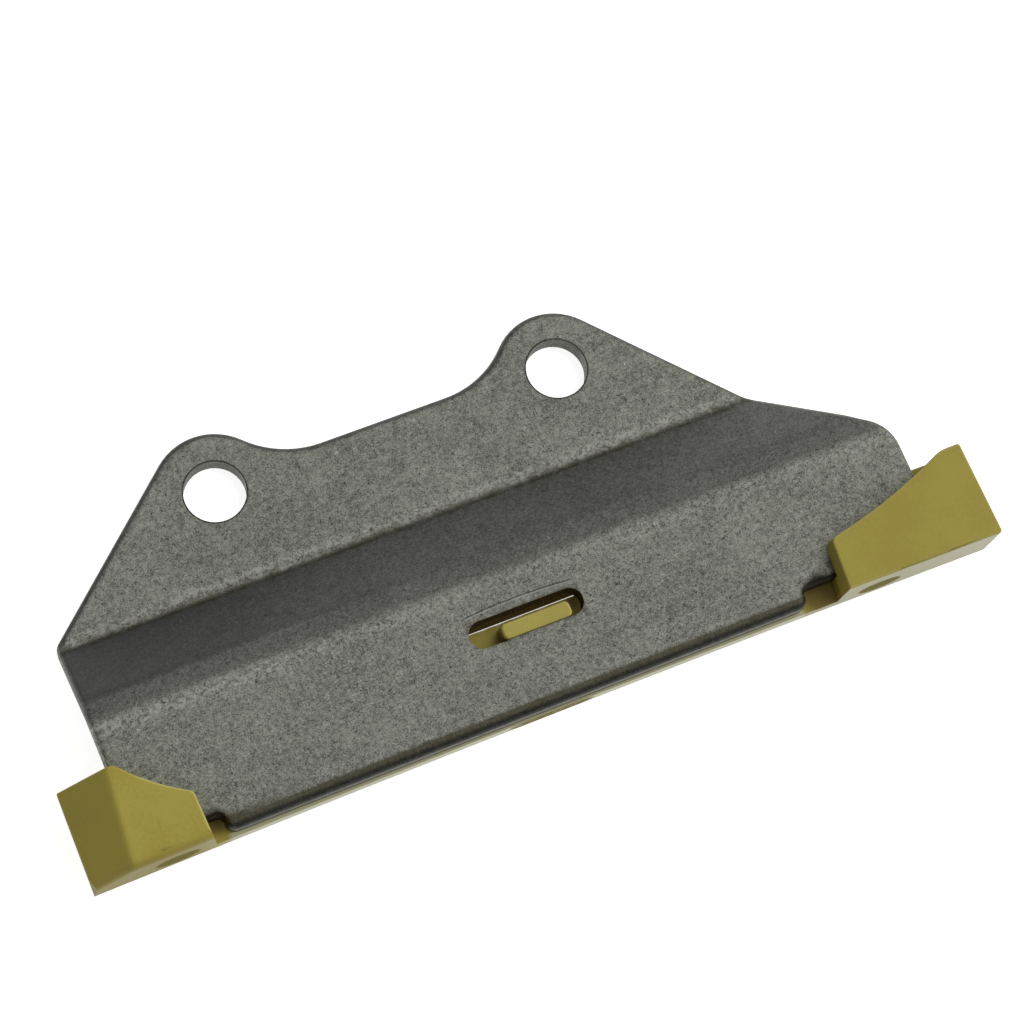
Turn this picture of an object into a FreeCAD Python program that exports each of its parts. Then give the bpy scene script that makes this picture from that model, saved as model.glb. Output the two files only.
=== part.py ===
import FreeCAD, Part
import math
import os

# Timing chain guide: a folded steel bracket with two bolt ears, and a nylon shoe that clips over
# its lower flange. Millimetres and degrees.
#
# The origin lies midway between the two bolt holes, on the face that bolts to the engine.
# X runs along the shoe, Y points from the shoe to the ears, and Z points out of the bolt heads' side.

# Bracket: sheet and folds
SHEET = 3.0                    # thickness of the steel
JOGGLE = 6.2                   # how far the shoe flange stands in front of the bolt flange
BEND_ANGLE = 34.0              # slope of the band between the two flanges
BEND_RADIUS = 1.5              # inner radius of both folds
BEND_LINE = 13.43              # from the bolt line down to the upper fold, on the front face
DIE_ROLL = 1.1                 # rounding that the blanking die leaves on the front edges

# Bracket: bolt ears and the saddle between them
BOLT_SPACING = 50.0
BOLT_HOLE = 8.5                # diameter, clear of an M8 bolt
EAR_RADIUS = 8.45
SADDLE_RISE = 1.7              # flat of the saddle above the bolt line
SADDLE_RADIUS = 13.6           # hollow between that flat and each ear

# Bracket: outline of the flanges
LEFT_REACH = 52.0              # from the origin to the left end, at its upper corner
LEFT_TAPER = 0.55              # how much that end draws in down to the lower edge
LEFT_SLOPE = 41.4              # fall of the left side from its ear
LEFT_CORNER = 1.8
RIGHT_REACH = 63.45            # from the origin to the right end
RIGHT_SLOPE = 47.8             # fall of the right side from its ear to the upper fold
BAND_SLOPE = 39.8              # fall of the right side across the band
BAND_BLEND = 20.0              # radius where those two slopes meet
FLANGE_SLOPE = 33.0            # fall of the right side from the lower fold to the corner
FLANGE_BLEND = 8.0             # radius where the side crosses the lower fold
RIGHT_CORNER = 5.8
LOWER_EDGE = 42.0              # from the bolt line down to the plate's edge under the claws
LOWER_CORNER = 1.0
TAB_LEFT = 40.1                # from the origin to the tab's left side
TAB_RIGHT = 42.3
TAB_DROP = 2.37                # how far the tab reaches below the plate's edge
TAB_CORNER = 1.35
NOTCH_RADIUS = 0.9             # in the corners beside the tab

# Bracket: slot for the shoe's peg
SLOT_LENGTH = 16.2
SLOT_WIDTH = 3.8
SLOT_X = 6.08                  # centre of the slot
SLOT_DROP = 32.38              # from the bolt line down to the slot's centre line

# Shoe: back wall
SHOE_LIP = 0.73                # how far the shoe's ends reach below the tab
SHOE_BOW = 0.45                # hollow of the shoe's lower edge
WALL = 2.35
WALL_HEIGHT = 13.4             # at both ends
WALL_CROWN = 0.5               # rise of its upper edge between them
LEFT_LAP = 7.05                # shoe beyond the plate's lower left corner
RIGHT_LAP = 6.7                # shoe beyond the plate's right end
END_DRAFT = 0.25               # taper of the right end over the wall's height

# Shoe: both claws
CLAW = 3.0                     # thickness in front of the plate
CLAW_CLEARANCE = 0.1           # between a claw and the plate that it wraps
CLAW_FLARE = 0.57              # how much wider a claw's inner side is at the wall
CLAW_CORNER = 0.9
EDGE_BREAK = 0.3               # rounding of the claws' front edges
FOOT_BREAK = 1.4               # rounding of the left claw's lower front edge
END_CORNER = 0.45              # upright edges at the claws' outer ends

# Shoe: left claw, with heights above the shoe's lower corners
LEFT_CLAW_GAP = 2.2            # from the tab's left side to the claw
LEFT_CLAW_LEAN = 0.28          # lean of its inner side
LEFT_CLAW_LOW = 6.7            # height at its inner side
LEFT_CLAW_HIGH = 13.5
LEFT_CLAW_TOP = 7.7            # length of its flat top
LEFT_CLAW_HOLLOW = 0.48        # sag of its curved edge
LEFT_CREST = 1.6               # radius where that edge runs out into the flat top
RAMP_LENGTH = 5.5              # bevel at the claw's outer end, along its lower edge
RAMP_ANGLE = 34.6              # slope of the bevel from the claw's front
RAMP_SKEW = 4.8                # lean of the bevel's edge
RAMP_BLEND = 2.0
NICK_SIDE = 1.3                # small flat on the outer lower corner, up the side
NICK_FLOOR = 0.6               # and along the floor

# Shoe: right claw, with heights above the shoe's lower corners
RIGHT_CLAW_GAP = 4.9           # from the tab's right side to the claw
RIGHT_CLAW_LEAN = 0.55
RIGHT_CLAW_LOW = 7.5
RIGHT_CLAW_HIGH = 13.5
RIGHT_CLAW_TOP = 3.2
RIGHT_CLAW_HOLLOW = 0.6
RIGHT_CREST = 4.5

# Shoe: peg
PEG_LENGTH = 9.75
PEG_HEIGHT = 2.25
PEG_INSET = 2.05               # from the peg's right side to the slot's right end
PEG_CLEARANCE = 0.1            # between the peg and the slot's lower side
PEG_SHORT = 0.15               # how far the peg stays below the plate's front face
PEG_DRAFT = 0.25               # taper of the peg's ends over its height
PEG_CORNER = 0.7
PEG_BREAK = 0.4

TOUCH = 1e-4                   # points nearer than this are the same point
LEVEL_ANGLE = 8.0              # a face is level when its normal leans less than this
FORWARD_ANGLE = 41.0           # and it faces forward when its normal leans less than this
OVERSIZE = 5.0                 # extra reach of a cutting solid

HALF_SPACING = BOLT_SPACING / 2
LOWER_BEND = -BEND_LINE - JOGGLE / math.tan(math.radians(BEND_ANGLE))
FRONT = JOGGLE + SHEET
CLAW_FRONT = FRONT + CLAW
TAB_EDGE = LOWER_EDGE + TAB_DROP
SHOE_FLOOR = -TAB_EDGE - SHOE_LIP
PLATE_FOOT = -LEFT_REACH + LEFT_TAPER
SHOE_LEFT = PLATE_FOOT - LEFT_LAP
SHOE_RIGHT = RIGHT_REACH + RIGHT_LAP
WALL_BACK = JOGGLE - WALL


def point(x, y, z=0.0):
    return FreeCAD.Vector(x, y, z)


def heading(angle):
    """Unit vector at an angle from +X towards +Y."""
    return point(math.cos(math.radians(angle)), math.sin(math.radians(angle)))


def arc(start, middle, end):
    return Part.Arc(start, middle, end).toShape()


def line(start, end):
    return Part.LineSegment(start, end).toShape()


def arc_about(centre, start, end, side):
    """Arc around a centre that passes on the given side of it."""
    radius = (start - centre).Length
    middle = centre + side * (radius / side.Length)
    return arc(start, middle, end)


def sagging_arc(start, end, sag):
    """Arc between two points whose middle lies the given distance to the right of the chord."""
    chord = end - start
    right = point(chord.y, -chord.x) * (1 / chord.Length)
    return arc(start, (start + end) * 0.5 + right * sag, end)


def rounded_path(corners):
    """Straight runs from the first corner to the last, each one between rounded to its radius."""
    edges = []
    start = corners[0][0]
    for index in range(1, len(corners) - 1):
        corner, radius = corners[index]
        to_last = (corners[index - 1][0] - corner).normalize()
        to_next = (corners[index + 1][0] - corner).normalize()
        half_angle = to_last.getAngle(to_next) / 2
        run = radius / math.tan(half_angle)
        inward = (to_last + to_next).normalize()
        middle = corner + inward * (radius / math.sin(half_angle) - radius)
        edges.append(line(start, corner + to_last * run))
        edges.append(arc(corner + to_last * run, middle, corner + to_next * run))
        start = corner + to_next * run
    edges.append(line(start, corners[-1][0]))
    return edges


def closed_path(corners):
    """Closed outline through the corners, each rounded, starting midway along the last side."""
    start = (corners[-1][0] + corners[0][0]) * 0.5
    return rounded_path([(start, 0)] + corners + [(start, 0)])


def prism(edges, bottom, top):
    """Solid between two heights over a closed outline in the plan."""
    face = Part.Face(Part.Wire(edges))
    face.translate(point(0, 0, bottom))
    return face.extrude(point(0, 0, top - bottom))


def faces_forward(face, lean):
    """Whether the normal in the middle of a face leans less than an angle from +Z."""
    u_low, u_high, v_low, v_high = face.ParameterRange
    normal = face.normalAt((u_low + u_high) / 2, (v_low + v_high) / 2)
    return math.degrees(normal.getAngle(point(0, 0, 1))) < lean


def rim_of(faces):
    """Edges that belong to one face of the group only."""
    edges = [edge for face in faces for edge in face.Edges]
    return [edge for edge in edges if sum(edge.isSame(other) for other in edges) == 1]


def meet(start, direction, x):
    """Where a line in the plan reaches the given X."""
    return start + direction * ((x - start.x) / direction.x)


def descend(start, slope, y):
    """Where a line that falls to the right at the given slope reaches the given Y."""
    fall = heading(-slope)
    return start + fall * ((y - start.y) / fall.y)


# Bracket

def folded_sheet():
    """The sheet with both folds, wider and longer than the bracket on every side."""
    half_turn = math.radians(BEND_ANGLE) / 2
    slope = math.radians(BEND_ANGLE)
    outer_radius = BEND_RADIUS + SHEET
    upper_centre = point(0, -BEND_LINE + BEND_RADIUS * math.tan(half_turn), SHEET + BEND_RADIUS)
    lower_centre = point(0, LOWER_BEND - outer_radius * math.tan(half_turn), JOGGLE - BEND_RADIUS)
    across = point(0, math.sin(slope), math.cos(slope))
    across_half = point(0, math.sin(half_turn), math.cos(half_turn))
    straight = point(0, 0, 1)
    top = EAR_RADIUS + OVERSIZE
    bottom = -TAB_EDGE - OVERSIZE

    def fold(centre, radius):
        return [centre + direction * radius for direction in (straight, across_half, across)]

    front_upper = fold(upper_centre, -BEND_RADIUS)
    front_lower = fold(lower_centre, outer_radius)
    back_upper = fold(upper_centre, -outer_radius)
    back_lower = fold(lower_centre, BEND_RADIUS)
    section = [
        line(point(0, top, SHEET), front_upper[0]),
        arc(*front_upper),
        line(front_upper[2], front_lower[2]),
        arc(*reversed(front_lower)),
        line(front_lower[0], point(0, bottom, FRONT)),
        line(point(0, bottom, FRONT), point(0, bottom, JOGGLE)),
        line(point(0, bottom, JOGGLE), back_lower[0]),
        arc(*back_lower),
        line(back_lower[2], back_upper[2]),
        arc(*reversed(back_upper)),
        line(back_upper[0], point(0, top, 0)),
        line(point(0, top, 0), point(0, top, SHEET)),
    ]
    face = Part.Face(Part.Wire(section))
    face.translate(point(-LEFT_REACH - OVERSIZE, 0, 0))
    return face.extrude(point(LEFT_REACH + RIGHT_REACH + 2 * OVERSIZE, 0, 0))


def left_tangent():
    """Where the left side leaves its ear."""
    return point(-HALF_SPACING, 0) + heading(90 + LEFT_SLOPE) * EAR_RADIUS


def left_upper_corner():
    """Where the sloping left side would meet the left end."""
    return meet(left_tangent(), heading(180 + LEFT_SLOPE), -LEFT_REACH)


def bracket_outline():
    """Plan of the bracket: ears and saddle above, sloping sides, and the tab between its notches."""
    left_ear = point(-HALF_SPACING, 0)
    right_ear = point(HALF_SPACING, 0)
    right_out = heading(90 - RIGHT_SLOPE)
    left_start = left_tangent()
    right_start = right_ear + right_out * EAR_RADIUS

    hollow_height = SADDLE_RISE + SADDLE_RADIUS
    hollow_inset = math.sqrt((EAR_RADIUS + SADDLE_RADIUS) ** 2 - hollow_height ** 2)
    left_hollow = point(-HALF_SPACING + hollow_inset, hollow_height)
    right_hollow = point(HALF_SPACING - hollow_inset, hollow_height)
    ear_share = EAR_RADIUS / (EAR_RADIUS + SADDLE_RADIUS)
    left_joint = left_ear + (left_hollow - left_ear) * ear_share
    right_joint = right_ear + (right_hollow - right_ear) * ear_share
    flat_left = point(left_hollow.x, SADDLE_RISE)
    flat_right = point(right_hollow.x, SADDLE_RISE)
    up = point(0, 1)
    top_edges = [
        arc_about(left_ear, left_start, left_joint, up),
        arc_about(left_hollow, left_joint, flat_left, left_joint + flat_left - left_hollow * 2),
        line(flat_left, flat_right),
        arc_about(right_hollow, flat_right, right_joint, right_joint + flat_right - right_hollow * 2),
        arc_about(right_ear, right_joint, right_start, up),
    ]

    band_top = descend(right_start, RIGHT_SLOPE, -BEND_LINE)
    band_foot = descend(band_top, BAND_SLOPE, LOWER_BEND)
    right_corner = meet(band_foot, heading(-FLANGE_SLOPE), RIGHT_REACH)
    lower = -LOWER_EDGE
    side_edges = rounded_path([
        (right_start, 0),
        (band_top, BAND_BLEND),
        (band_foot, FLANGE_BLEND),
        (right_corner, RIGHT_CORNER),
        (point(RIGHT_REACH, lower), LOWER_CORNER),
        (point(TAB_RIGHT, lower), NOTCH_RADIUS),
        (point(TAB_RIGHT, -TAB_EDGE), TAB_CORNER),
        (point(-TAB_LEFT, -TAB_EDGE), TAB_CORNER),
        (point(-TAB_LEFT, lower), NOTCH_RADIUS),
        (point(PLATE_FOOT, lower), LOWER_CORNER),
        (left_upper_corner(), LEFT_CORNER),
        (left_start, 0),
    ])
    return top_edges + side_edges


def slot_outline():
    """Oblong slot with round ends."""
    radius = SLOT_WIDTH / 2
    half_run = SLOT_LENGTH / 2 - radius
    left = point(SLOT_X - half_run, -SLOT_DROP)
    right = point(SLOT_X + half_run, -SLOT_DROP)
    rise = point(0, radius)
    reach = point(radius, 0)
    return [
        line(left + rise, right + rise),
        arc(right + rise, right + reach, right - rise),
        line(right - rise, left - rise),
        arc(left - rise, left - reach, left + rise),
    ]


def bracket_plate():
    """The stamped bracket: trimmed after folding, rolled at its front edges, then pierced."""
    blank = prism(bracket_outline(), -OVERSIZE, FRONT + OVERSIZE)
    plate = folded_sheet().common(blank).removeSplitter()
    front_faces = [face for face in plate.Faces if faces_forward(face, FORWARD_ANGLE)]
    plate = plate.makeFillet(DIE_ROLL, rim_of(front_faces))
    through = SHEET + 2 * OVERSIZE
    for x in (-HALF_SPACING, HALF_SPACING):
        plate = plate.cut(Part.makeCylinder(BOLT_HOLE / 2, through, point(x, 0, -OVERSIZE)))
    plate = plate.cut(prism(slot_outline(), JOGGLE - OVERSIZE, FRONT + OVERSIZE))
    return plate


# Shoe

def back_wall():
    """Long wall behind the flange, with a hollow lower edge and a crowned upper one."""
    bottom_left = point(SHOE_LEFT, SHOE_FLOOR)
    bottom_right = point(SHOE_RIGHT, SHOE_FLOOR)
    top_left = point(SHOE_LEFT, SHOE_FLOOR + WALL_HEIGHT)
    top_right = point(SHOE_RIGHT - END_DRAFT, SHOE_FLOOR + WALL_HEIGHT)
    outline = [
        sagging_arc(bottom_left, bottom_right, -SHOE_BOW),
        line(bottom_right, top_right),
        sagging_arc(top_right, top_left, WALL_CROWN),
        line(top_left, bottom_left),
    ]
    return prism(outline, WALL_BACK, JOGGLE)


def plate_pocket():
    """Space that the flange takes between the claws and the wall, with its clearance."""
    gap = CLAW_CLEARANCE
    left_foot = point(PLATE_FOOT - gap, -LOWER_EDGE - gap)
    left_rise = point(-LEFT_REACH - PLATE_FOOT, left_upper_corner().y + LOWER_EDGE)
    corners = [
        left_foot,
        point(RIGHT_REACH + gap, -LOWER_EDGE - gap),
        point(RIGHT_REACH + gap, left_foot.y + left_rise.y),
        left_foot + left_rise,
    ]
    edges = closed_path([(corner, LOWER_CORNER + gap) for corner in corners])
    return prism(edges, JOGGLE, FRONT + gap)


def claw(low, high, outer, inner_foot, hollow):
    """Claw block with a curved upper edge, whose inner side grows wider towards the wall."""
    inward = point(math.copysign(CLAW_FLARE, inner_foot.x - outer), 0)
    outer_foot = point(outer, SHOE_FLOOR)
    outer_top = point(outer, high.y)
    sag = math.copysign(hollow, outer - inner_foot.x)
    wires = []
    for height, shift in ((WALL_BACK, inward), (CLAW_FRONT, point(0, 0))):
        edges = [
            sagging_arc(low + shift, high, sag),
            line(high, outer_top),
            line(outer_top, outer_foot),
            line(outer_foot, inner_foot + shift),
            line(inner_foot + shift, low + shift),
        ]
        wire = Part.Wire(edges)
        wire.translate(point(0, 0, height))
        wires.append(wire)
    return Part.makeLoft(wires, True, True)


def round_upright(solid, place, radius):
    """Round the edge that rises to the claw's front at a place in the plan."""
    tip = place + point(0, 0, CLAW_FRONT)
    edges = []
    for edge in solid.Edges:
        ends = [vertex.Point for vertex in edge.Vertexes]
        reaches_tip = any((end - tip).Length < TOUCH for end in ends)
        if reaches_tip and abs(ends[0].z - ends[-1].z) > CLAW:
            edges.append(edge)
    return solid.makeFillet(radius, edges)


def beyond(place, outward):
    """Block that fills the outer side of a plane."""
    reach = WALL_HEIGHT + OVERSIZE
    block = Part.makeBox(2 * reach, 2 * reach, OVERSIZE, point(-reach, -reach, 0))
    block.Placement = FreeCAD.Placement(place, FreeCAD.Rotation(point(0, 0, 1), outward))
    return block


def left_claw():
    """Claw round the plate's left end: curved edge, flat top and a bevel at its outer end."""
    inner = -TAB_LEFT - LEFT_CLAW_GAP
    low = point(inner - LEFT_CLAW_LEAN, SHOE_FLOOR + LEFT_CLAW_LOW)
    high = point(SHOE_LEFT + LEFT_CLAW_TOP, SHOE_FLOOR + LEFT_CLAW_HIGH)
    solid = claw(low, high, SHOE_LEFT, point(inner, SHOE_FLOOR), LEFT_CLAW_HOLLOW)
    solid = round_upright(solid, low, CLAW_CORNER)
    solid = round_upright(solid, high, LEFT_CREST)

    slope = math.radians(RAMP_ANGLE)
    skew = math.radians(RAMP_SKEW)
    outward = point(-math.cos(skew) * math.sin(slope), math.sin(skew) * math.sin(slope), math.cos(slope))
    ramp_foot = point(SHOE_LEFT + RAMP_LENGTH, SHOE_FLOOR, CLAW_FRONT)
    solid = solid.cut(beyond(ramp_foot, outward))
    crease = [
        edge for edge in solid.Edges
        if ends_at(edge, ramp_foot) and level(edge, CLAW_FRONT) and not runs_along_x(edge)
    ]
    return solid.makeFillet(RAMP_BLEND, crease)


def ends_at(edge, place):
    """Whether an edge has an end at a place."""
    return any((vertex.Point - place).Length < TOUCH for vertex in edge.Vertexes)


def level(edge, height):
    """Whether both ends of an edge lie at a height."""
    return all(abs(vertex.Z - height) < TOUCH for vertex in edge.Vertexes)


def runs_along_x(edge):
    """Whether an edge keeps one Y and one Z."""
    box = edge.BoundBox
    return max(box.YLength, box.ZLength) < TOUCH


def right_claw():
    """Claw round the plate's right end, full thickness to its outer end."""
    inner = TAB_RIGHT + RIGHT_CLAW_GAP
    low = point(inner + RIGHT_CLAW_LEAN, SHOE_FLOOR + RIGHT_CLAW_LOW)
    high = point(SHOE_RIGHT - RIGHT_CLAW_TOP, SHOE_FLOOR + RIGHT_CLAW_HIGH)
    solid = claw(low, high, SHOE_RIGHT, point(inner, SHOE_FLOOR), RIGHT_CLAW_HOLLOW)
    solid = round_upright(solid, low, CLAW_CORNER)
    return round_upright(solid, high, RIGHT_CREST)


def peg():
    """Low bar on the wall that stands in the slot, a little short of the plate's front."""
    right = SLOT_X + SLOT_LENGTH / 2 - PEG_INSET
    left = right - PEG_LENGTH
    bottom = -SLOT_DROP - SLOT_WIDTH / 2 + PEG_CLEARANCE
    top = bottom + PEG_HEIGHT
    wires = []
    for height, spread in ((JOGGLE, PEG_DRAFT), (FRONT - PEG_SHORT, 0)):
        corners = [
            point(left - spread, bottom),
            point(right + spread, bottom),
            point(right + spread, top),
            point(left - spread, top),
        ]
        wire = Part.Wire(closed_path([(corner, PEG_CORNER) for corner in corners]))
        wire.translate(point(0, 0, height))
        wires.append(wire)
    bar = Part.makeLoft(wires, True, True)
    front = [face for face in bar.Faces if faces_forward(face, LEVEL_ANGLE)]
    return bar.makeFillet(PEG_BREAK, rim_of(front))


def claw_rim(shoe):
    """Edges round the claws' front faces."""
    front_faces = [
        face for face in shoe.Faces
        if faces_forward(face, FORWARD_ANGLE) and face.BoundBox.ZMax > FRONT + CLAW / 2
    ]
    return rim_of(front_faces)


def on_left_foot(edge):
    """Whether an edge lies along the lower side of the left claw."""
    box = edge.BoundBox
    return box.XMax < 0 and box.YMax < SHOE_FLOOR + FOOT_BREAK


def upright_ends(shoe):
    """Upright edges that the plan of each claw shows as its sharp outer corners."""
    places = [
        point(SHOE_RIGHT, SHOE_FLOOR),
        point(SHOE_RIGHT - END_DRAFT, SHOE_FLOOR + RIGHT_CLAW_HIGH),
    ]
    found = []
    for edge in shoe.Edges:
        box = edge.BoundBox
        foot = point(box.Center.x, box.Center.y)
        if box.ZLength > CLAW and min((foot - place).Length for place in places) < END_DRAFT:
            found.append(edge)
    return found


def round_claws(shoe):
    """Break the claws' front edges, the left claw's lower one more than the others."""
    rim = claw_rim(shoe)
    radii = []
    for number, edge in enumerate(shoe.Edges, 1):
        if any(edge.isSame(other) for other in rim):
            radius = FOOT_BREAK if on_left_foot(edge) else EDGE_BREAK
            radii.append((number, radius, radius))
        elif any(edge.isSame(other) for other in upright_ends(shoe)):
            radii.append((number, END_CORNER, END_CORNER))
    document = FreeCAD.newDocument("shoe")
    sharp = document.addObject("Part::Feature", "sharp")
    sharp.Shape = shoe
    rounded = document.addObject("Part::Fillet", "rounded")
    rounded.Base = sharp
    rounded.Edges = radii
    document.recompute()
    return rounded.Shape


def guide_shoe():
    """The moulded shoe: wall, two claws and peg in one piece."""
    shoe = back_wall().fuse([left_claw(), right_claw()])
    floor_left = point(SHOE_LEFT, SHOE_FLOOR)
    floor_right = point(SHOE_RIGHT, SHOE_FLOOR)
    hollow = [sagging_arc(floor_left, floor_right, -SHOE_BOW), line(floor_right, floor_left)]
    shoe = shoe.cut([plate_pocket(), prism(hollow, WALL_BACK, CLAW_FRONT)])
    end_lean = point(WALL_HEIGHT, END_DRAFT)
    shoe = shoe.cut(beyond(floor_right, end_lean)).removeSplitter()

    shoe = round_claws(shoe)

    ramp_end = CLAW_FRONT - RAMP_LENGTH * math.tan(math.radians(RAMP_ANGLE))
    side = point(SHOE_LEFT, SHOE_FLOOR + NICK_SIDE, ramp_end)
    foot = point(SHOE_LEFT + NICK_FLOOR, SHOE_FLOOR, ramp_end)
    back = point(SHOE_LEFT, SHOE_FLOOR, WALL_BACK)
    shoe = shoe.cut(beyond(side, (back - side).cross(foot - side)))
    return shoe.fuse(peg()).removeSplitter()


def main():
    os.makedirs("parts", exist_ok=True)
    for name, build in (("bracket_plate", bracket_plate), ("guide_shoe", guide_shoe)):
        shape = build()
        box = shape.BoundBox
        low = "%.2f %.2f %.2f" % (box.XMin, box.YMin, box.ZMin)
        high = "%.2f %.2f %.2f" % (box.XMax, box.YMax, box.ZMax)
        print(name, "valid", shape.isValid(), "solids", len(shape.Solids), "faces", len(shape.Faces))
        print("    volume %.1f" % shape.Volume, "box", low, "to", high)
        shape.exportStep("parts/" + name + ".step")


main()
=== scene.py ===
import logging
from dataclasses import dataclass, field
from enum import Enum
from typing import Any

import bpy
from mathutils import Matrix, Vector


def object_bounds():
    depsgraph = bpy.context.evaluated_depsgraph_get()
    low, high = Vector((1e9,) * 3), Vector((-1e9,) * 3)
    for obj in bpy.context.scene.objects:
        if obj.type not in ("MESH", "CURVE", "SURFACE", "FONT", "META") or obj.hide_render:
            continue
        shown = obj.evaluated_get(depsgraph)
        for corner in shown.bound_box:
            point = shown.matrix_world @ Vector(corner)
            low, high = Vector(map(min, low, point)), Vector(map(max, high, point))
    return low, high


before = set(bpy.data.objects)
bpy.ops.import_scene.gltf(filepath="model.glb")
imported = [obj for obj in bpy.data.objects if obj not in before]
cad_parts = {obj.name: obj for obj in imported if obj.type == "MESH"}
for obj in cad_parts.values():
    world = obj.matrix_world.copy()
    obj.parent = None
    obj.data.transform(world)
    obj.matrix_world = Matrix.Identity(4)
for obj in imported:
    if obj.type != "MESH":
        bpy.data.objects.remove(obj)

CAD_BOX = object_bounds()

MM = 0.001
WHITE = (1.0, 1.0, 1.0, 1.0)

# Places on the part in millimetres from the row's origin, along X or across Y
HOLE_SIDE = 25.0          # each bolt hole, to the left and the right
HOLE_BURR = 4.3           # radius of the painted burr shadow round it
UPPER_FOLD = -13.85       # crease between the bolt flange and the sloping band
LOWER_FOLD = -26.0        # lower edge of the painted shade below the band
SLOT_LINE = -32.4         # middle of the slot
ROLLED_EDGE = -43.4       # where the tab's lower edge starts to roll
LEFT_CLAW_END = -45.0     # where the left claw's foot gives way to the wall's

Socket = bpy.types.NodeSocket
Node = bpy.types.Node
Tree = bpy.types.NodeTree


def linear(colour: str) -> tuple[float, float, float, float]:
    """Turn an sRGB hex colour into a linear one.

    Args:
        colour: The colour as "#rrggbb".

    Returns:
        Red, green, blue and an alpha of 1.
    """
    parts = [int(colour[start:start + 2], 16) / 255 for start in (1, 3, 5)]
    red, green, blue = [part / 12.92 if part <= 0.04045 else ((part + 0.055) / 1.055) ** 2.4
                        for part in parts]
    return red, green, blue, 1.0


def add_node(tree: Tree, kind: str, settings: dict[str, Any] | None = None,
             inputs: dict[str | int, Any] | None = None) -> Node:
    """Add a node to a tree, with its settings and its inputs.

    Args:
        tree: The tree that takes the node.
        kind: Blender's type name of the node.
        settings: Attributes of the node, by name.
        inputs: A value or an output socket for each input, by name or number.

    Returns:
        The new node.
    """
    node = tree.nodes.new(kind)
    for name, value in (settings or {}).items():
        setattr(node, name, value)
    for key, value in (inputs or {}).items():
        if isinstance(value, Socket):
            tree.links.new(value, node.inputs[key])
        else:
            node.inputs[key].default_value = value
    return node


def add_step(tree: Tree, value: Socket, low: float, high: float, start: float, end: float) -> Socket:
    """Smooth step of a value.

    Args:
        tree: The tree that takes the node.
        value: The value to follow.
        low: Where the step starts.
        high: Where the step ends.
        start: Result below the step.
        end: Result above it.

    Returns:
        The stepped value.
    """
    node = add_node(tree, "ShaderNodeMapRange", {"interpolation_type": "SMOOTHSTEP"}, {
        "Value": value, "From Min": low, "From Max": high, "To Min": start, "To Max": end})
    return node.outputs[0]


class Axis(Enum):
    """Axes of the part, by the name of the output that carries them."""

    ALONG = "X"
    RISE = "Y"
    OUT = "Z"


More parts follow.
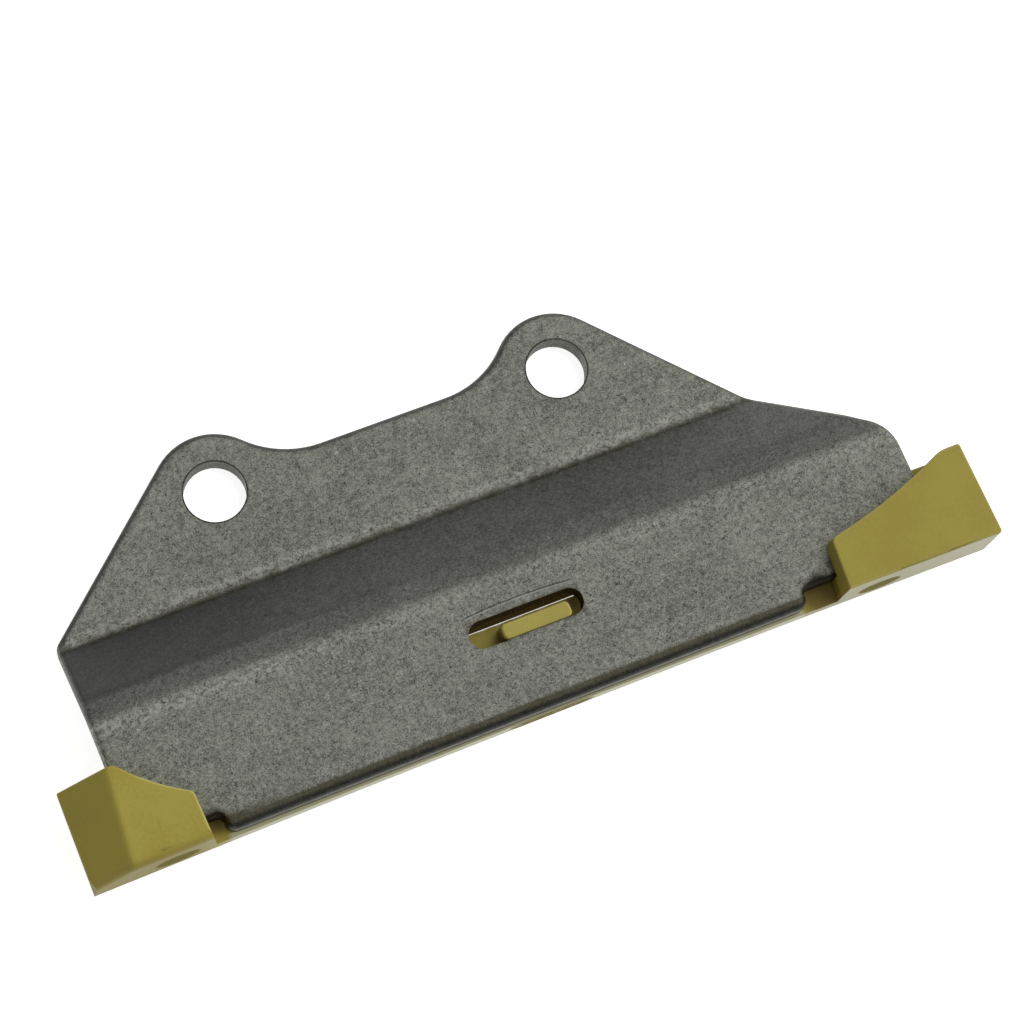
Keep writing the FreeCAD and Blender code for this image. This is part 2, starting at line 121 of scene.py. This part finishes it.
@dataclass
class Surface:
    """A material under construction, with the pieces that its patterns share."""

    name: str
    material: bpy.types.Material = field(init=False)
    tree: Tree = field(init=False)
    place: Socket = field(init=False)
    shader: Node = field(init=False)

    def __post_init__(self) -> None:
        """Start the material with its shader and the place on the part in metres."""
        self.material = bpy.data.materials.new(self.name)
        self.material.use_nodes = True
        self.tree = self.material.node_tree
        self.tree.nodes.clear()
        self.place = add_node(self.tree, "ShaderNodeTexCoord").outputs["Object"]
        self.shader = add_node(self.tree, "ShaderNodeBsdfPrincipled")
        add_node(self.tree, "ShaderNodeOutputMaterial", inputs={"Surface": self.shader.outputs["BSDF"]})

    def calculate(self, operation: str, *values: float | Socket) -> Socket:
        """One sum on sockets or numbers, by the name that the Math node has for it."""
        node = add_node(self.tree, "ShaderNodeMath", {"operation": operation}, dict(enumerate(values)))
        return node.outputs[0]

    def chain(self, operation: str, values: tuple[float | Socket, ...]) -> Socket:
        """Run a sum of two values over any number of them.

        Args:
            operation: Name of the sum, as the Math node has it.
            values: What it works on, in order.

        Returns:
            The socket that carries the result.
        """
        result = values[0]
        for value in values[1:]:
            result = self.calculate(operation, result, value)
        return result

    def total(self, *values: float | Socket) -> Socket:
        """Add any number of values."""
        return self.chain("ADD", values)

    def product(self, *values: float | Socket) -> Socket:
        """Multiply any number of masks or values."""
        return self.chain("MULTIPLY", values)

    def largest(self, *values: float | Socket) -> Socket:
        """Join any number of masks: the largest counts."""
        return self.chain("MAXIMUM", values)

    def inverse(self, mask: Socket) -> Socket:
        """Swap the inside and the outside of a mask."""
        return self.calculate("SUBTRACT", 1.0, mask)

    def grain(self, size_mm: float, detail: float = 3.0, roughness: float = 0.6,
              shift_mm: float = 0.0, twist: float = 0.0) -> Socket:
        """Cloudy pattern whose spots are about one real size across.

        Args:
            size_mm: Width of a spot in millimetres.
            detail: How many finer layers it has.
            roughness: Weight of those finer layers.
            shift_mm: Offset of the pattern, so that two patterns don't agree.
            twist: How far the spots are stretched out into short strokes.

        Returns:
            A value about 0.5, mostly between 0.3 and 0.7.
        """
        moved = add_node(self.tree, "ShaderNodeMapping", inputs={
            "Vector": self.place, "Location": (shift_mm * MM, shift_mm * MM, shift_mm * MM)})
        noise = add_node(self.tree, "ShaderNodeTexNoise", inputs={
            "Vector": moved.outputs[0], "Scale": 1 / (size_mm * MM), "Detail": detail,
            "Roughness": roughness, "Distortion": twist})
        return noise.outputs["Fac"]

    def ramp(self, value: Socket, low: float, high: float, start: float = 0.0, end: float = 1.0) -> Socket:
        """Smooth step of a value, from one result to another."""
        return add_step(self.tree, value, low, high, start, end)

    def blend(self, factor: float | Socket, under: Socket | tuple, over: Socket | tuple) -> Socket:
        """Lay one colour over another.

        Args:
            factor: How much of the upper colour shows.
            under: The lower colour.
            over: The upper colour.

        Returns:
            The mixed colour.
        """
        node = add_node(self.tree, "ShaderNodeMix", {"data_type": "RGBA"}, {
            "Factor": factor, 6: under, 7: over})
        return node.outputs[2]

    def lay(self, tone: Socket, layers: list[tuple[Socket, str]]) -> Socket:
        """Lay any number of colours over a tone.

        Args:
            tone: The colour below them all.
            layers: Each layer's mask and its colour as "#rrggbb", from below upwards.

        Returns:
            The colour on top.
        """
        for mask, colour in layers:
            tone = self.blend(mask, tone, linear(colour))
        return tone

    def along(self, axis: Axis) -> Socket:
        """Place on the part along one axis, in metres."""
        return add_node(self.tree, "ShaderNodeSeparateXYZ", inputs={0: self.place}).outputs[axis.value]

    def facing(self, axis: Axis) -> Socket:
        """How squarely the surface looks along one axis of the part."""
        normal = add_node(self.tree, "ShaderNodeNewGeometry").outputs["Normal"]
        return add_node(self.tree, "ShaderNodeSeparateXYZ", inputs={0: normal}).outputs[axis.value]

    def step(self, axis: Axis, low_mm: float, high_mm: float,
             start: float = 0.0, end: float = 1.0) -> Socket:
        """Smooth step between two places along an axis."""
        return self.ramp(self.along(axis), low_mm * MM, high_mm * MM, start, end)

    def look(self, axis: Axis, low: float, high: float, start: float = 0.0, end: float = 1.0) -> Socket:
        """Smooth step of how squarely the surface looks along an axis."""
        return self.ramp(self.facing(axis), low, high, start, end)

    def near(self, value: Socket, centre_mm: float, half_mm: float, fade_mm: float) -> Socket:
        """Band about one place: 1 inside it, falling to 0 over the fade."""
        offset = self.calculate("ABSOLUTE", self.calculate("SUBTRACT", value, centre_mm * MM))
        return self.ramp(offset, half_mm * MM, (half_mm + fade_mm) * MM, 1.0, 0.0)

    def window(self, axis: Axis, low_mm: float, high_mm: float, fade_mm: float) -> Socket:
        """Band between two places along an axis, with a soft edge outside each."""
        return self.product(self.step(axis, low_mm - fade_mm, low_mm),
                            self.step(axis, high_mm, high_mm + fade_mm, 1.0, 0.0))

    def reach(self, x_mm: float, y_mm: float) -> Socket:
        """Distance from an upright line through the part.

        Args:
            x_mm: Where the line stands along the part.
            y_mm: Where it stands across the part.

        Returns:
            The distance in metres.
        """
        flat = add_node(self.tree, "ShaderNodeVectorMath", {"operation": "MULTIPLY"}, {
            0: self.place, 1: (1.0, 1.0, 0.0)})
        apart = add_node(self.tree, "ShaderNodeVectorMath", {"operation": "DISTANCE"}, {
            0: flat.outputs[0], 1: (x_mm * MM, y_mm * MM, 0.0)})
        return apart.outputs["Value"]

    def spot(self, x_mm: float, y_mm: float, radius_mm: float, fade_mm: float) -> Socket:
        """Round spot in the plan: 1 within the radius, falling to 0 over the fade."""
        return self.ramp(self.reach(x_mm, y_mm), radius_mm * MM, (radius_mm + fade_mm) * MM, 1.0, 0.0)

    def roughen(self, height: Socket, depth_mm: float, strength: float) -> None:
        """Raise and lower the surface by a pattern.

        Args:
            height: The pattern.
            depth_mm: Its real depth in millimetres.
            strength: How much of it shows.
        """
        bump = add_node(self.tree, "ShaderNodeBump", inputs={
            "Height": height, "Distance": depth_mm * MM, "Strength": strength})
        self.tree.links.new(bump.outputs[0], self.shader.inputs["Normal"])

    def feed(self, **sockets: Any) -> None:
        """Give the shader its values and patterns.

        Args:
            **sockets: A value or an output socket for each input, by its name with underscores.
        """
        for name, value in sockets.items():
            target = self.shader.inputs[name.replace("_", " ")]
            if isinstance(value, Socket):
                self.tree.links.new(value, target)
            else:
                target.default_value = value


@dataclass(frozen=True)
class TumbledSteel:
    """Low-carbon steel sheet, stamped and tumbled: a dull grey with a crisp fine speckle."""

    name: str = "tumbled_steel"
    light: str = "#c4c6ba"      # speckle, bright side
    dark: str = "#72726a"       # speckle, dark side
    pit: str = "#3a3b39"
    # painted glints: bright flecks of the tumbled face, and the scratch's painted highlight
    glint: str = "#e6e7dd"
    residue_and_shade: str = "#57513b"    # dried oil in the fold and round the slot, and painted shade above the tab's rolled edge
    corner_shade: str = "#2a2219"       # painted shade and reflected nylon brown in the notches' corners, with some brown stain
    slot_shade: str = "#554119"      # painted shade and dark reflection on the slot's wall
    rim_shade: str = "#222421"        # painted dark reflection on the blanked edges' roll, and painted burr shadow round the holes
    cut: str = "#33291c"        # blanked walls, darker, their brown a painted reflection of the nylon
    band_shade: str = "#585a59"      # painted shade on the sloping band and below the lower fold
    grain_mm: float = 0.20
    stroke_mm: float = 0.60
    mottle_mm: float = 1.8
    cloud_mm: float = 9.0
    weights: tuple[float, ...] = (0.42, 0.34, 0.15, 0.09)    # of those four patterns
    pit_mm: float = 0.45
    glint_mm: float = 0.38
    depth_mm: float = 0.02

    def build(self) -> bpy.types.Material:
        """Make the material.

        Returns:
            The finished material.
        """
        steel = Surface(self.name)
        grain = steel.grain(self.grain_mm, detail=2.0, roughness=0.7)
        upright = steel.ramp(steel.calculate("ABSOLUTE", steel.facing(Axis.OUT)), 0.02, 0.25, 1.0, 0.0)
        # painted shade: the slot's wall, darkened where it would reflect the white board
        slot = steel.product(upright, steel.near(steel.along(Axis.RISE), SLOT_LINE, 2.5, 0.1))
        tone = steel.lay(self.speckle(steel, grain), [
            (self.painted_band_shade(steel), self.band_shade),
            (self.residue_and_shade_mask(steel), self.residue_and_shade),
            (self.rolled_rim_shade(steel), self.rim_shade),
            (self.hole_rim_shade(steel), self.rim_shade),
            (self.notch_corner_shade(steel), self.corner_shade),
            (self.scratch(steel, radius_mm=80.0, depth=0.65), self.pit),
            (self.scratch(steel, radius_mm=79.75, depth=0.35), self.glint),
            # blanked walls, darker, with a painted brown reflection of the nylon
            (steel.product(upright, 0.45), self.cut),
            (slot, self.slot_shade)])
        rough = steel.total(steel.ramp(grain, 0.3, 0.7, 0.60, 0.50), steel.product(slot, 0.4))
        steel.feed(Base_Color=tone, Metallic=1.0, Roughness=rough)
        steel.roughen(grain, self.depth_mm, 0.35)
        return steel.material

    def speckle(self, steel: Surface, grain: Socket) -> Socket:
        """Speckled grey of the tumbled face, with fine pits, a few bright flecks painted as glints, and
        bright streaks at the folds.

        Args:
            steel: The material under construction.
            grain: Its finest pattern.

        Returns:
            The colour.
        """
        stroke = steel.grain(self.stroke_mm, detail=3.0, roughness=0.7, shift_mm=31.0, twist=0.6)
        mottle = steel.grain(self.mottle_mm, detail=4.0, roughness=0.65, shift_mm=61.0, twist=0.6)
        cloud = steel.grain(self.cloud_mm, detail=3.0, shift_mm=77.0)
        patterns = zip((grain, stroke, mottle, cloud), self.weights)
        mixed = steel.total(*[steel.product(pattern, weight) for pattern, weight in patterns])
        tone = steel.blend(steel.ramp(mixed, 0.38, 0.62), linear(self.dark), linear(self.light))
        pits = steel.ramp(steel.grain(self.pit_mm, detail=1.0, roughness=0.6, shift_mm=5.0), 0.66, 0.74)
        glints = steel.ramp(steel.grain(self.glint_mm, detail=2.0, shift_mm=53.0, twist=0.8), 0.60, 0.74)
        glints = steel.product(glints, steel.ramp(mottle, 0.35, 0.65, 0.35, 1.0), 0.8)
        bright = steel.largest(glints, self.fold_streaks(steel, stroke))
        return steel.lay(tone, [(steel.product(pits, 0.7), self.pit), (bright, self.glint)])

    def fold_streaks(self, steel: Surface, stroke: Socket) -> Socket:
        """Broken bright streaks above the upper fold and below the lower one, fewer to the right.

        Args:
            steel: The material under construction.
            stroke: The pattern that breaks it up.

        Returns:
            Its mask.
        """
        upper = steel.product(steel.window(Axis.RISE, -12.9, -12.1, 0.8), 0.75)
        lower = steel.near(self.fold_height(steel), LOWER_FOLD - 0.5, 0.3, 1.2)
        lower = steel.product(lower, steel.step(Axis.ALONG, -50, 10, 1.0, 0.3))
        return steel.product(steel.largest(upper, lower), steel.ramp(stroke, 0.40, 0.60), 0.42)

    def fold_height(self, steel: Surface) -> Socket:
        """Place across the part, along a line beside the lower fold that falls to the right, which the
        painted shade below the band follows.
        """
        fall = steel.product(steel.along(Axis.ALONG), 0.004)
        return steel.total(steel.along(Axis.RISE), fall)

    def painted_band_shade(self, steel: Surface) -> Socket:
        """Painted shade on the sloping band, which faces away from the light, strongest at its left, and
        painted shade just below the lower fold.

        Args:
            steel: The material under construction.

        Returns:
            Its mask.
        """
        band = steel.product(steel.look(Axis.RISE, 0.05, 0.5), steel.step(Axis.ALONG, -58, 5, 0.90, 0.62))
        below = steel.ramp(self.fold_height(steel), LOWER_FOLD * MM, (LOWER_FOLD + 1.6) * MM)
        return steel.largest(band, steel.product(below, steel.step(Axis.RISE, -20, -16, 1.0, 0.0), 0.55))

    def residue_and_shade_mask(self, steel: Surface) -> Socket:
        """Brown residue in the upper fold and round the slot, and painted shade above the tab's rolled
        edge, where it turns away.

        Args:
            steel: The material under construction.

        Returns:
            Its mask.
        """
        rise = steel.along(Axis.RISE)
        smear = steel.product(steel.window(Axis.RISE, -13.6, -13.2, 0.9), 0.6)
        fold = steel.near(rise, UPPER_FOLD, 0.06, 0.20)
        slot = steel.product(steel.near(rise, SLOT_LINE, 1.95, 0.35),
                             steel.window(Axis.ALONG, -1.9, 14.0, 0.3), 0.6)
        broken = steel.ramp(steel.grain(1.6, detail=4.0, shift_mm=19.0), 0.36, 0.62, 0.2, 1.0)
        # painted shade along the tab's rolled edge, where it turns away from the light
        edge = steel.near(rise, ROLLED_EDGE, 0.2, 0.55)
        corner = steel.product(steel.near(rise, ROLLED_EDGE + 0.3, 0.2, 1.0),
                               steel.step(Axis.ALONG, -39, -27, 1.0, 0.0))
        return steel.largest(steel.product(steel.largest(smear, fold, slot), broken, 0.85),
                             steel.product(steel.largest(edge, corner), 0.8))

    def rolled_rim_shade(self, steel: Surface) -> Socket:
        """Painted dark reflection of the dim horizon on the roll that the blanking die leaves, but not on
        the sloping band.

        Args:
            steel: The material under construction.

        Returns:
            Its mask.
        """
        out = steel.facing(Axis.OUT)
        rolled = steel.product(steel.ramp(out, -0.06, 0.05), steel.ramp(out, 0.72, 0.98, 1.0, 0.0))
        off_band = steel.inverse(steel.window(Axis.RISE, -25.5, -12.0, 0.8))
        sideways = steel.ramp(steel.calculate("ABSOLUTE", steel.facing(Axis.ALONG)), 0.15, 0.4)
        rolled = steel.product(rolled, steel.largest(off_band, sideways),
                               steel.look(Axis.RISE, -0.35, -0.05, 0.92, 0.45))
        lower = steel.product(steel.step(Axis.RISE, ROLLED_EDGE - 0.55, ROLLED_EDGE, 0.88, 0.0),
                              steel.ramp(out, 0.0, 0.15))
        return steel.largest(rolled, lower)

    def hole_rim_shade(self, steel: Surface) -> Socket:
        """Thin painted shadow of the burr round both bolt holes."""
        rims = [steel.near(steel.reach(x_mm, 0.0), HOLE_BURR, 0.03, 0.22)
                for x_mm in (-HOLE_SIDE, HOLE_SIDE)]
        return steel.product(steel.largest(*rims), steel.look(Axis.OUT, 0.5, 0.9), 0.85)

    def notch_corner_shade(self, steel: Surface) -> Socket:
        """Painted shade and reflected nylon brown in the corners of the two notches beside the tab, with
        some brown stain, and the right claw's painted shadow beside it.

        Args:
            steel: The material under construction.

        Returns:
            Their mask.
        """
        left = steel.spot(-41.2, -42.5, 0.9, 1.2)
        right = steel.spot(44.6, -42.4, 1.0, 1.4)
        beside = steel.product(steel.near(steel.along(Axis.ALONG), 47.3, 0.2, 0.9),
                               steel.window(Axis.RISE, -43.5, -40.0, 1.2), 0.8)
        return steel.product(steel.largest(left, right, beside), 0.85)

    def scratch(self, steel: Surface, radius_mm: float, depth: float) -> Socket:
        """Fine arc that the press tool drew above the slot: a dark groove, with a painted highlight on its
        lip just below.

        Args:
            steel: The material under construction.
            radius_mm: Radius of this arc.
            depth: How much of it shows.

        Returns:
            Its mask.
        """
        arc = steel.near(steel.reach(5.4, -109.2), radius_mm, 0.03, 0.10)
        return steel.product(arc, steel.window(Axis.ALONG, -1.2, 13.2, 0.8), depth)


@dataclass(frozen=True)
class MouldedNylon:
    """Heat-stabilised nylon 66, injection moulded: a satin olive yellow, glossy under its foot."""

    name: str = "moulded_nylon"
    base: str = "#a79a40"
    deep: str = "#a09139"       # clouds in the base
    pale: str = "#bdb26c"       # painted highlight on rounded edges, painted light on the wall in the slot, and the paler peg
    skin: str = "#c9c8a6"       # lip of the wall below the tab
    rich: str = "#86751c"       # painted shade on faces turned to the left, such as the left claw's ramp, and the left claw's lower bend
    shade: str = "#6b6126"      # painted shade towards the right end, and the mould's faint lines
    foot: str = "#919261"       # glossy underside, paler and greyer as a painted reflection of the white board
    ejector: str = "#7c742e"
    # painted highlight on the wall's upper front edge
    top_edge_highlight: str = "#f2ede0"
    shade_and_soil: str = "#553c04"       # painted shade with some brown soiling, beside the tab and at the peg
    grain_mm: float = 0.35
    cloud_mm: float = 9.0
    depth_mm: float = 0.006
    satin: float = 0.58         # roughness of the moulded face
    ior: float = 1.53

    def build(self) -> bpy.types.Material:
        """Make the material.

        Returns:
            The finished material.
        """
        nylon = Surface(self.name)
        cloud = nylon.grain(self.cloud_mm, detail=2.0, shift_mm=11.0)
        fine = nylon.grain(self.grain_mm, detail=2.0, shift_mm=3.0)
        mixed = nylon.total(nylon.product(cloud, 0.6), nylon.product(fine, 0.4))
        under = nylon.look(Axis.RISE, -0.96, -0.88, 1.0, 0.0)
        marks = nylon.product(self.ejector_marks(nylon), under)
        mottled = nylon.ramp(nylon.grain(0.5, detail=3.0, shift_mm=43.0), 0.38, 0.60, 0.35, 1.0)
        clear_of_claw = (Axis.ALONG, LEFT_CLAW_END, LEFT_CLAW_END + 10)
        tone = nylon.blend(nylon.ramp(mixed, 0.40, 0.60), linear(self.base), linear(self.deep))
        tone = nylon.lay(tone, [
            (nylon.product(self.painted_light_and_pale_peg(nylon), 0.6), self.pale),
            # painted shade on faces turned to the left, away from the light
            (nylon.look(Axis.ALONG, -0.35, -0.15, 0.40, 0.0), self.rich),
            (self.left_bend(nylon), self.rich),
            # painted shade, deeper towards the right end
            (nylon.step(Axis.ALONG, -20, 62, 0.0, 0.10), self.shade),
            # glossy underside, with a painted reflection of the white board in its paler tint
            (nylon.product(under, nylon.step(*clear_of_claw, 0.0, 0.55)), self.foot),
            (self.lip(nylon), self.skin),
            (nylon.product(self.mould_marks(nylon), 0.2), self.shade),
            (nylon.product(marks, mottled), self.ejector),
            (self.top_edge_highlight_mask(nylon), self.top_edge_highlight),
            (nylon.product(self.shade_and_soiling(nylon), 0.6), self.shade_and_soil)])
        smooth = nylon.product(under, nylon.inverse(marks), nylon.step(*clear_of_claw, 0.02, 0.20))
        rough = nylon.total(nylon.calculate("SUBTRACT", self.satin, smooth), nylon.product(marks, 0.4))
        nylon.feed(Base_Color=tone, Roughness=rough, IOR=self.ior)
        nylon.roughen(fine, self.depth_mm, 0.4)
        return nylon.material

    def left_bend(self, nylon: Surface) -> Socket:
        """Lower rounding of the left claw, deeper in colour."""
        return nylon.product(nylon.look(Axis.RISE, -0.95, -0.25, 0.5, 0.0),
                             nylon.step(Axis.ALONG, LEFT_CLAW_END, LEFT_CLAW_END + 3, 1.0, 0.0))

    def lip(self, nylon: Surface) -> Socket:
        """Pale lip of the wall that shows below the tab, between the claws."""
        return nylon.product(nylon.window(Axis.RISE, -46.0, -44.3, 0.12),
                             nylon.window(Axis.ALONG, -39.5, 41.5, 1.0), 0.75)

    def ejector_marks(self, nylon: Surface) -> Socket:
        """Three rough oval ejector marks, at their places along the foot.

        Args:
            nylon: The material under construction.

        Returns:
            Their mask.
        """
        places = [(-47.15, 7.0, 3.0, 2.1), (5.15, 5.0, 6.05, 1.6), (52.9, 7.0, 3.1, 2.1)]
        ovals = []
        for x_mm, z_mm, half_x, half_z in places:
            along = nylon.calculate("SUBTRACT", nylon.along(Axis.ALONG), x_mm * MM)
            out = nylon.calculate("SUBTRACT", nylon.along(Axis.OUT), z_mm * MM)
            along = nylon.calculate("DIVIDE", along, half_x * MM)
            out = nylon.calculate("DIVIDE", out, half_z * MM)
            squares = nylon.total(nylon.product(along, along), nylon.product(out, out))
            ovals.append(nylon.ramp(squares, 0.85, 1.1, 1.0, 0.0))
        return nylon.largest(*ovals)

    def painted_light_and_pale_peg(self, nylon: Surface) -> Socket:
        """Painted highlight on the claws' rounded front edges, a paler peg, and painted light lifting the
        shade on a little of the wall in the slot.

        Args:
            nylon: The material under construction.

        Returns:
            Their mask.
        """
        out = nylon.facing(Axis.OUT)
        above = nylon.look(Axis.RISE, -0.3, -0.1)
        right_half = nylon.step(Axis.ALONG, 0, 5)
        # painted highlight on the claws' rounded front edges
        bent = nylon.product(nylon.ramp(out, 0.25, 0.5), nylon.ramp(out, 0.93, 0.99, 1.0, 0.0),
                             nylon.step(Axis.ALONG, -49, -48), nylon.largest(above, right_half))
        peg = nylon.product(nylon.window(Axis.OUT, 8.0, 9.3, 0.2),
                            nylon.window(Axis.ALONG, 2.0, 13.0, 0.5),
                            nylon.window(Axis.RISE, -36.0, -30.0, 0.5), 0.35)
        # painted light that lifts the peg's shadow on the wall
        wall = nylon.product(nylon.window(Axis.OUT, 5.9, 6.5, 0.1),
                             nylon.window(Axis.ALONG, -3.0, 14.5, 0.5),
                             nylon.window(Axis.RISE, -35.0, -31.3, 0.1), 0.2)
        return nylon.largest(bent, peg, wall)

    def mould_marks(self, nylon: Surface) -> Socket:
        """Faint line across the left claw's front and a fine speck on the right one.

        Args:
            nylon: The material under construction.

        Returns:
            Their mask.
        """
        line = nylon.product(nylon.near(nylon.along(Axis.ALONG), -48.05, 0.03, 0.12),
                             nylon.window(Axis.RISE, -42.6, -40.0, 0.5))
        speck = nylon.spot(53.56, -37.33, 0.05, 0.12)
        return nylon.product(nylon.largest(line, speck), nylon.step(Axis.OUT, 11.5, 12.0))

    def top_edge_highlight_mask(self, nylon: Surface) -> Socket:
        """Near-white wavy line painted along the wall's upper front edge, which shows in the slot: a
        painted highlight where the edge catches the light.

        Args:
            nylon: The material under construction.

        Returns:
            Its mask.
        """
        wave = nylon.calculate("SUBTRACT", nylon.grain(1.6, detail=2.0, shift_mm=23.0), 0.5)
        height = nylon.total(nylon.along(Axis.RISE), nylon.product(wave, 0.5 * MM))
        return nylon.product(nylon.near(height, -31.2, 0.04, 0.05),
                             nylon.near(nylon.along(Axis.OUT), 6.2, 0.05, 0.05),
                             nylon.window(Axis.ALONG, -4.0, 14.0, 0.5))

    def shade_and_soiling(self, nylon: Surface) -> Socket:
        """Painted brown shade on the wall, with some brown soiling, beside the tab and at both ends of the
        peg.

        Args:
            nylon: The material under construction.

        Returns:
            Its mask.
        """
        beside_tab = [nylon.spot(-41.4, -42.6, 0.4, 1.4), nylon.spot(45.2, -43.2, 1.6, 1.8)]
        at_peg = [nylon.spot(2.2, -33.4, 0.3, 0.8), nylon.spot(13.2, -32.0, 0.3, 1.0)]
        return nylon.product(nylon.largest(*beside_tab, *at_peg), nylon.window(Axis.OUT, 5.5, 8.2, 0.5))


@dataclass(frozen=True)
class PaleFloor:
    """Matt white board under the part: white to the eye, with the part's soft shadow on it, and a painted
    shadow under the flange where the slot shows it.
    """

    name: str = "white_board"
    board: str = "#e6e6e4"
    shade: str = "#6e5a2c"      # painted shadow under the part, where the slot shows it
    glow: float = 0.78          # lifts the lit board to white

    def build(self) -> bpy.types.Material:
        """Make the material.

        Returns:
            The finished material.
        """
        floor = Surface(self.name)
        rays = add_node(floor.tree, "ShaderNodeLightPath").outputs
        seen = floor.largest(rays["Is Camera Ray"], rays["Is Glossy Ray"], rays["Is Transmission Ray"])
        # painted shadow on the board under the flange, where the slot shows it, with its glow taken away
        covered = floor.product(floor.window(Axis.ALONG, -6.0, 22.0, 2.0),
                                floor.window(Axis.RISE, -29.86, -26.0, 0.1))
        tone = floor.blend(covered, linear(self.board), linear(self.shade))
        floor.feed(Base_Color=tone, Roughness=0.9, Emission_Color=WHITE,
                   Emission_Strength=floor.product(seen, floor.inverse(covered), self.glow))
        return floor.material


@dataclass
class Bracket:
    """The stamped bracket, whose form is the frame's own."""

    node: str = "bracket_plate"
    finish: TumbledSteel = TumbledSteel()

    def dress(self) -> list[bpy.types.Object]:
        """Give the bracket its steel.

        Returns:
            The bracket's object.
        """
        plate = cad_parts[self.node]
        assign(plate, self.finish.build())
        return [plate]


@dataclass
class Shoe:
    """The moulded shoe, whose form is the frame's own."""

    node: str = "guide_shoe"
    finish: MouldedNylon = MouldedNylon()

    def dress(self) -> list[bpy.types.Object]:
        """Give the shoe its nylon.

        Returns:
            The shoe's object.
        """
        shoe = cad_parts[self.node]
        assign(shoe, self.finish.build())
        return [shoe]


def assign(piece: bpy.types.Object, material: bpy.types.Material) -> None:
    """Put one material in every slot of a piece.

    Args:
        piece: The piece that takes it.
        material: The material.
    """
    if not piece.material_slots:
        piece.data.materials.append(material)
    for material_slot in piece.material_slots:
        material_slot.material = material


@dataclass
class Studio:
    """White board, soft light from above and to the right, and the camera. Lengths not in mm are metres."""

    floor_half: float = 60.0
    floor_gap_mm: float = 0.02  # keeps the board clear of the part's back
    lens_mm: float = 94.11
    sensor_mm: float = 36.0
    clip_mm: float = 10.0
    eye_mm: tuple[float, float, float] = (-64.588, -98.583, 346.855)
    gaze: tuple[float, float, float] = (0.20981, 0.22618, -0.95122)
    upright: tuple[float, float, float] = (0.34048, 0.89508, 0.28793)
    key_direction: tuple[float, float, float] = (0.70, 0.05, 0.71)
    key_distance: float = 8.0
    key_size: float = 8.0
    key_power: float = 405.0    # watts
    horizon: float = 0.05       # strength of the room's light at each place
    zenith: float = 0.44
    side_fill: float = 0.08
    right_lean: float = 0.55

    def build(self) -> None:
        """Set up the floor, the light, the camera and the plain view."""
        self.lay_floor()
        self.light_sky()
        self.hang_key()
        self.place_camera()
        bpy.context.scene.view_settings.view_transform = "Standard"

    def lay_floor(self) -> None:
        """Lay the white board that the part lies on."""
        half = self.floor_half
        mesh = bpy.data.meshes.new("board")
        corners = [(-half, -half, 0), (half, -half, 0), (half, half, 0), (-half, half, 0)]
        mesh.from_pydata(corners, [], [(0, 1, 2, 3)])
        board = bpy.data.objects.new("board", mesh)
        bpy.context.scene.collection.objects.link(board)
        board.location.z = CAD_BOX[0][2] - self.floor_gap_mm * MM
        mesh.materials.append(PaleFloor().build())

    def light_sky(self) -> None:
        """Make the room: dim at the horizon, brighter overhead and to the right, faintly filled at left."""
        world = bpy.data.worlds.new("room")
        bpy.context.scene.world = world
        world.use_nodes = True
        tree = world.node_tree
        tree.nodes.clear()
        direction = add_node(tree, "ShaderNodeTexCoord").outputs["Generated"]
        parts = add_node(tree, "ShaderNodeSeparateXYZ", inputs={0: direction}).outputs
        level = add_step(tree, parts["Z"], 0.0, 0.9, self.horizon, self.zenith)
        fill = add_step(tree, parts["X"], -0.95, -0.45, self.side_fill, 0.0)
        right = add_node(tree, "ShaderNodeMath", {"operation": "MAXIMUM"}, {0: parts["X"], 1: 0.0})
        lean = add_node(tree, "ShaderNodeMath", {"operation": "MULTIPLY_ADD"}, {
            0: right.outputs[0], 1: self.right_lean, 2: level})
        strength = add_node(tree, "ShaderNodeMath", {"operation": "ADD"}, {0: lean.outputs[0], 1: fill})
        light = add_node(tree, "ShaderNodeBackground", inputs={
            "Color": WHITE, "Strength": strength.outputs[0]})
        add_node(tree, "ShaderNodeOutputWorld", inputs={"Surface": light.outputs[0]})

    def hang_key(self) -> None:
        """Hang the large soft lamp over the right end, out of the metal's reflections."""
        lamp = bpy.data.lights.new("soft_key", "AREA")
        lamp.shape = "SQUARE"
        lamp.size = self.key_size
        lamp.energy = self.key_power
        holder = bpy.data.objects.new("soft_key", lamp)
        away = Vector(self.key_direction).normalized()
        turn = away.to_track_quat("Z", "Y").to_matrix().to_4x4()
        holder.matrix_world = Matrix.Translation(away * self.key_distance) @ turn
        holder.visible_glossy = False
        bpy.context.scene.collection.objects.link(holder)

    def place_camera(self) -> None:
        """Set the camera at the photograph's angle."""
        lens = bpy.data.cameras.new("camera")
        lens.lens = self.lens_mm
        lens.sensor_width = self.sensor_mm
        lens.clip_start = self.clip_mm * MM
        holder = bpy.data.objects.new("camera", lens)
        back = -Vector(self.gaze).normalized()
        right = Vector(self.upright).cross(back).normalized()
        turn = Matrix((right, back.cross(right), back)).transposed().to_4x4()
        holder.matrix_world = Matrix.Translation(Vector(self.eye_mm) * MM) @ turn
        bpy.context.scene.collection.objects.link(holder)
        bpy.context.scene.camera = holder


def main() -> None:
    """Build the studio, dress each sub-assembly and report its pieces."""
    logging.basicConfig(level=logging.INFO, format="%(message)s")
    log = logging.getLogger("guide")
    Studio().build()
    for assembly in (Bracket(), Shoe()):
        for piece in assembly.dress():
            log.info("%s: %s, %d faces", type(assembly).__name__, piece.name, len(piece.data.polygons))


if __name__ == "__main__":
    main()
